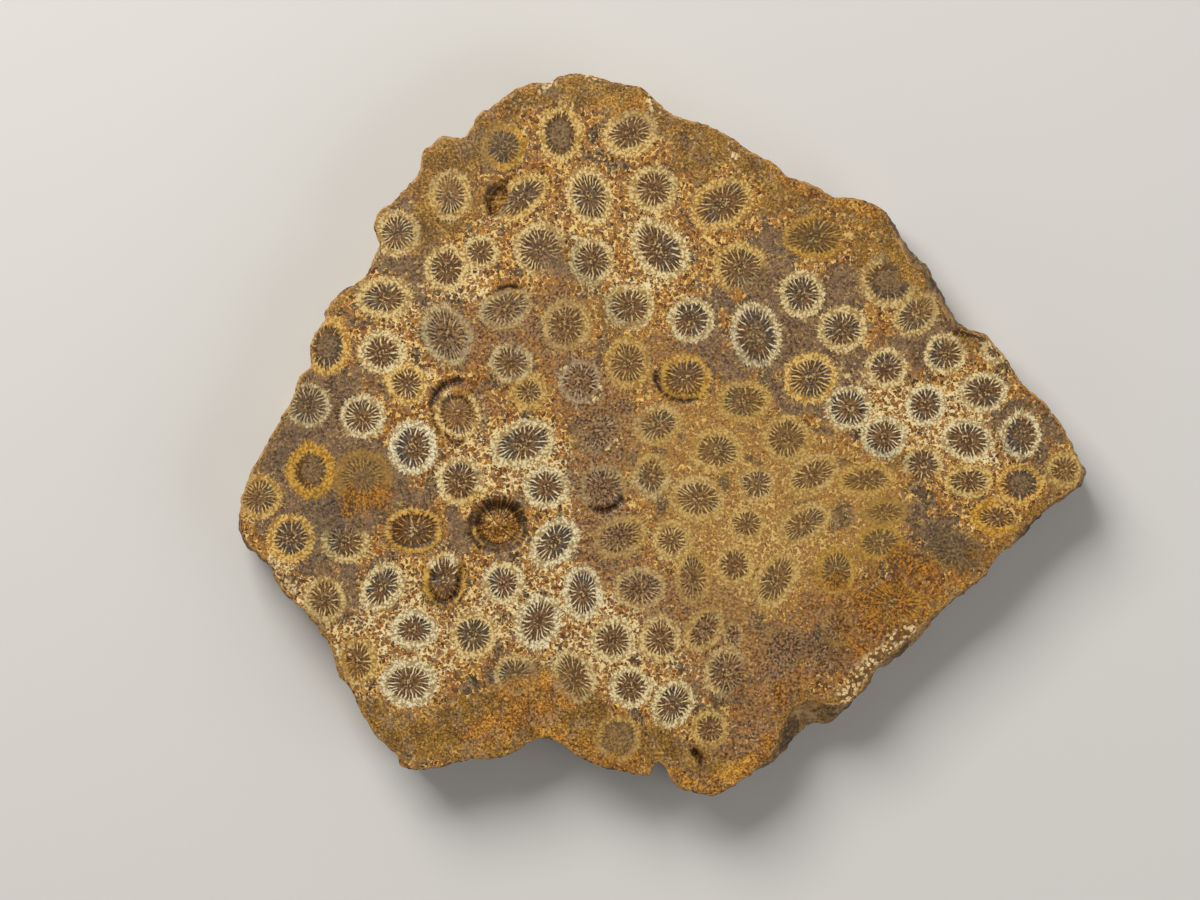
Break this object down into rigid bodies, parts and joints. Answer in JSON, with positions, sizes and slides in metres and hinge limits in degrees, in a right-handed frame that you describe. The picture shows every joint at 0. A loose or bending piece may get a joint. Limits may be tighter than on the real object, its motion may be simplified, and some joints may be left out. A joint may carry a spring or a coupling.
{
  "type": "fossil coral slab",
  "caption": "Flat polished slab of silicified fossil coral with an irregular natural rim, round corallites on its face and a sawn flat back.",
  "frame": {"origin": "under the middle of the slab's bounding box, on the plane of its sawn back", "axes": "+X to the right across the polished face, +Y towards the face's upper edge, +Z out of the polished face"},
  "size_m": [0.1502, 0.1266, 0.014],
  "materials": {
    "coral_stone": "polished on its face, rough and weathered on its rim, sawn on its back"
  },
  "bodies": {
    "root": {"coral_slab": "coral_stone"}
  },
  "joints": []
}
